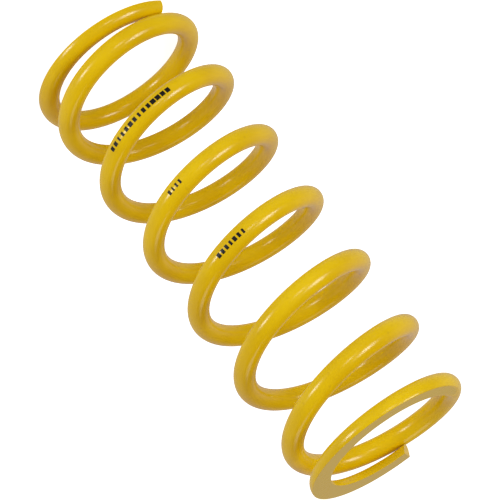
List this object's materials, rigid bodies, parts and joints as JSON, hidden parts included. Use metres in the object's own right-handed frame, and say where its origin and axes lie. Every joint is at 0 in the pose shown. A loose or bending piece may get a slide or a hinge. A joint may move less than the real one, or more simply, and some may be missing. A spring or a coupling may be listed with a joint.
{
  "type": "coil spring",
  "caption": "Right-hand wound coil spring for a rear shock absorber: round steel wire, yellow coat, closed and ground ends.",
  "frame": {"origin": "on the coil axis, in the plane of the lower ground face", "axes": "+Z along the coil axis towards the upper end; the lower tip of the wire points along +X"},
  "size_m": [0.0827, 0.0828, 0.2273],
  "materials": {
    "powder_coat": "gloss yellow powder coat over spring steel",
    "marking_ink": "matte black printed ink"
  },
  "bodies": {
    "lower_end_coil": {"lower_end_coil": "powder_coat"},
    "active_coil_1_quarter_1": {"active_coil_1_quarter_1": "powder_coat"},
    "active_coil_1_quarter_2": {"active_coil_1_quarter_2": "powder_coat"},
    "active_coil_1_quarter_3": {"active_coil_1_quarter_3": "powder_coat"},
    "active_coil_1_quarter_4": {"active_coil_1_quarter_4": "powder_coat"},
    "active_coil_2_quarter_1": {"active_coil_2_quarter_1": "powder_coat"},
    "active_coil_2_quarter_2": {"active_coil_2_quarter_2": "powder_coat"},
    "active_coil_2_quarter_3": {"active_coil_2_quarter_3": "powder_coat"},
    "active_coil_2_quarter_4": {"active_coil_2_quarter_4": "powder_coat"},
    "active_coil_3_quarter_1": {"active_coil_3_quarter_1": "powder_coat"},
    "active_coil_3_quarter_2": {"active_coil_3_quarter_2": "powder_coat"},
    "active_coil_3_quarter_3": {"active_coil_3_quarter_3": "powder_coat"},
    "active_coil_3_quarter_4": {"active_coil_3_quarter_4": "powder_coat"},
    "active_coil_4_quarter_1": {"active_coil_4_quarter_1": "powder_coat"},
    "active_coil_4_quarter_2": {"active_coil_4_quarter_2": "powder_coat"},
    "active_coil_4_quarter_3": {"active_coil_4_quarter_3": "powder_coat"},
    "active_coil_4_quarter_4": {"active_coil_4_quarter_4": "powder_coat"},
    "active_coil_5_quarter_1": {"active_coil_5_quarter_1": "powder_coat"},
    "active_coil_5_quarter_2": {"active_coil_5_quarter_2": "powder_coat"},
    "active_coil_5_quarter_3": {"active_coil_5_quarter_3": "powder_coat"},
    "active_coil_5_quarter_4": {"active_coil_5_quarter_4": "powder_coat"},
    "active_coil_6_quarter_1": {"active_coil_6_quarter_1": "powder_coat"},
    "active_coil_6_quarter_2": {"active_coil_6_quarter_2": "powder_coat"},
    "upper_end_coil": {"upper_end_coil": "powder_coat"}
  },
  "joints": [
    {"name": "wire_twist_1", "type": "hinge", "parent": "lower_end_coil", "child": "active_coil_1_quarter_1", "pos_m": [0.03156, 0.01813, 0.01192], "axis": [0.4952, -0.8619, -0.1089], "range_deg": [0, 4.53], "stiffness_Nm_per_rad": 2831},
    {"name": "wire_twist_2", "type": "hinge", "parent": "active_coil_1_quarter_1", "child": "active_coil_1_quarter_2", "pos_m": [-0.01813, 0.03156, 0.01911], "axis": [0.8586, 0.4933, -0.1394], "range_deg": [0, 5.33], "stiffness_Nm_per_rad": 2404.6},
    {"name": "wire_twist_3", "type": "hinge", "parent": "active_coil_1_quarter_2", "child": "active_coil_1_quarter_3", "pos_m": [-0.03156, -0.01813, 0.0278], "axis": [-0.4919, 0.8561, -0.1586], "range_deg": [0, 10.31], "stiffness_Nm_per_rad": 1243.2},
    {"name": "wire_twist_4", "type": "hinge", "parent": "active_coil_1_quarter_3", "child": "active_coil_1_quarter_4", "pos_m": [0.01813, -0.03156, 0.03714], "axis": [-0.8556, -0.4916, -0.1618], "range_deg": [0, 10.31], "stiffness_Nm_per_rad": 1243.2},
    {"name": "wire_twist_5", "type": "hinge", "parent": "active_coil_1_quarter_4", "child": "active_coil_2_quarter_1", "pos_m": [0.03156, 0.01813, 0.04652], "axis": [0.4916, -0.8556, -0.1618], "range_deg": [0, 10.31], "stiffness_Nm_per_rad": 1243.2},
    {"name": "wire_twist_6", "type": "hinge", "parent": "active_coil_2_quarter_1", "child": "active_coil_2_quarter_2", "pos_m": [-0.01813, 0.03156, 0.0559], "axis": [0.8556, 0.4916, -0.1618], "range_deg": [0, 10.31], "stiffness_Nm_per_rad": 1243.2},
    {"name": "wire_twist_7", "type": "hinge", "parent": "active_coil_2_quarter_2", "child": "active_coil_2_quarter_3", "pos_m": [-0.03156, -0.01813, 0.06527], "axis": [-0.4916, 0.8556, -0.1618], "range_deg": [0, 10.31], "stiffness_Nm_per_rad": 1243.2},
    {"name": "wire_twist_8", "type": "hinge", "parent": "active_coil_2_quarter_3", "child": "active_coil_2_quarter_4", "pos_m": [0.01813, -0.03156, 0.07465], "axis": [-0.8556, -0.4916, -0.1618], "range_deg": [0, 10.31], "stiffness_Nm_per_rad": 1243.2},
    {"name": "wire_twist_9", "type": "hinge", "parent": "active_coil_2_quarter_4", "child": "active_coil_3_quarter_1", "pos_m": [0.03156, 0.01813, 0.08402], "axis": [0.4916, -0.8556, -0.1618], "range_deg": [0, 10.31], "stiffness_Nm_per_rad": 1243.2},
    {"name": "wire_twist_10", "type": "hinge", "parent": "active_coil_3_quarter_1", "child": "active_coil_3_quarter_2", "pos_m": [-0.01813, 0.03156, 0.0934], "axis": [0.8556, 0.4916, -0.1618], "range_deg": [0, 10.31], "stiffness_Nm_per_rad": 1243.2},
    {"name": "wire_twist_11", "type": "hinge", "parent": "active_coil_3_quarter_2", "child": "active_coil_3_quarter_3", "pos_m": [-0.03156, -0.01813, 0.10277], "axis": [-0.4916, 0.8556, -0.1618], "range_deg": [0, 10.31], "stiffness_Nm_per_rad": 1243.2},
    {"name": "wire_twist_12", "type": "hinge", "parent": "active_coil_3_quarter_3", "child": "active_coil_3_quarter_4", "pos_m": [0.01813, -0.03156, 0.11214], "axis": [-0.8556, -0.4916, -0.1618], "range_deg": [0, 10.31], "stiffness_Nm_per_rad": 1243.2},
    {"name": "wire_twist_13", "type": "hinge", "parent": "active_coil_3_quarter_4", "child": "active_coil_4_quarter_1", "pos_m": [0.03156, 0.01813, 0.12152], "axis": [0.4916, -0.8556, -0.1618], "range_deg": [0, 10.31], "stiffness_Nm_per_rad": 1243.2},
    {"name": "wire_twist_14", "type": "hinge", "parent": "active_coil_4_quarter_1", "child": "active_coil_4_quarter_2", "pos_m": [-0.01813, 0.03156, 0.1309], "axis": [0.8556, 0.4916, -0.1618], "range_deg": [0, 10.31], "stiffness_Nm_per_rad": 1243.2},
    {"name": "wire_twist_15", "type": "hinge", "parent": "active_coil_4_quarter_2", "child": "active_coil_4_quarter_3", "pos_m": [-0.03156, -0.01813, 0.14027], "axis": [-0.4916, 0.8556, -0.1618], "range_deg": [0, 10.31], "stiffness_Nm_per_rad": 1243.2},
    {"name": "wire_twist_16", "type": "hinge", "parent": "active_coil_4_quarter_3", "child": "active_coil_4_quarter_4", "pos_m": [0.01813, -0.03156, 0.14965], "axis": [-0.8556, -0.4916, -0.1618], "range_deg": [0, 10.31], "stiffness_Nm_per_rad": 1243.2},
    {"name": "wire_twist_17", "type": "hinge", "parent": "active_coil_4_quarter_4", "child": "active_coil_5_quarter_1", "pos_m": [0.03156, 0.01813, 0.15902], "axis": [0.4916, -0.8556, -0.1618], "range_deg": [0, 10.31], "stiffness_Nm_per_rad": 1243.2},
    {"name": "wire_twist_18", "type": "hinge", "parent": "active_coil_5_quarter_1", "child": "active_coil_5_quarter_2", "pos_m": [-0.01813, 0.03156, 0.16839], "axis": [0.8556, 0.4916, -0.1618], "range_deg": [0, 10.31], "stiffness_Nm_per_rad": 1243.2},
    {"name": "wire_twist_19", "type": "hinge", "parent": "active_coil_5_quarter_2", "child": "active_coil_5_quarter_3", "pos_m": [-0.03156, -0.01813, 0.17777], "axis": [-0.4916, 0.8556, -0.1618], "range_deg": [0, 10.31], "stiffness_Nm_per_rad": 1243.2},
    {"name": "wire_twist_20", "type": "hinge", "parent": "active_coil_5_quarter_3", "child": "active_coil_5_quarter_4", "pos_m": [0.01813, -0.03156, 0.18715], "axis": [-0.8556, -0.4916, -0.1618], "range_deg": [0, 10.31], "stiffness_Nm_per_rad": 1243.2},
    {"name": "wire_twist_21", "type": "hinge", "parent": "active_coil_5_quarter_4", "child": "active_coil_6_quarter_1", "pos_m": [0.03154, 0.01812, 0.19652], "axis": [0.4931, -0.8548, -0.1619], "range_deg": [0, 10.31], "stiffness_Nm_per_rad": 1243.2},
    {"name": "wire_twist_22", "type": "hinge", "parent": "active_coil_6_quarter_1", "child": "active_coil_6_quarter_2", "pos_m": [-0.01803, 0.03138, 0.20589], "axis": [0.8532, 0.4956, -0.1627], "range_deg": [0, 5.24], "stiffness_Nm_per_rad": 2449.5},
    {"name": "wire_twist_23", "type": "hinge", "parent": "active_coil_6_quarter_2", "child": "upper_end_coil", "pos_m": [-0.03109, -0.01786, 0.21481], "axis": [-0.4988, 0.8551, -0.1414], "range_deg": [0, 4.5], "stiffness_Nm_per_rad": 2848}
  ],
  "couplings": [
    {"joint": "wire_twist_2", "follows": "wire_twist_1", "ratio": 1.1773},
    {"joint": "wire_twist_3", "follows": "wire_twist_1", "ratio": 2.2771},
    {"joint": "wire_twist_4", "follows": "wire_twist_1", "ratio": 2.2771},
    {"joint": "wire_twist_5", "follows": "wire_twist_1", "ratio": 2.2771},
    {"joint": "wire_twist_6", "follows": "wire_twist_1", "ratio": 2.2771},
    {"joint": "wire_twist_7", "follows": "wire_twist_1", "ratio": 2.2771},
    {"joint": "wire_twist_8", "follows": "wire_twist_1", "ratio": 2.2771},
    {"joint": "wire_twist_9", "follows": "wire_twist_1", "ratio": 2.2771},
    {"joint": "wire_twist_10", "follows": "wire_twist_1", "ratio": 2.2771},
    {"joint": "wire_twist_11", "follows": "wire_twist_1", "ratio": 2.2771},
    {"joint": "wire_twist_12", "follows": "wire_twist_1", "ratio": 2.2771},
    {"joint": "wire_twist_13", "follows": "wire_twist_1", "ratio": 2.2771},
    {"joint": "wire_twist_14", "follows": "wire_twist_1", "ratio": 2.2771},
    {"joint": "wire_twist_15", "follows": "wire_twist_1", "ratio": 2.2771},
    {"joint": "wire_twist_16", "follows": "wire_twist_1", "ratio": 2.2771},
    {"joint": "wire_twist_17", "follows": "wire_twist_1", "ratio": 2.2771},
    {"joint": "wire_twist_18", "follows": "wire_twist_1", "ratio": 2.2771},
    {"joint": "wire_twist_19", "follows": "wire_twist_1", "ratio": 2.2771},
    {"joint": "wire_twist_20", "follows": "wire_twist_1", "ratio": 2.2771},
    {"joint": "wire_twist_21", "follows": "wire_twist_1", "ratio": 2.2771},
    {"joint": "wire_twist_22", "follows": "wire_twist_1", "ratio": 1.1558},
    {"joint": "wire_twist_23", "follows": "wire_twist_1", "ratio": 0.994}
  ]
}
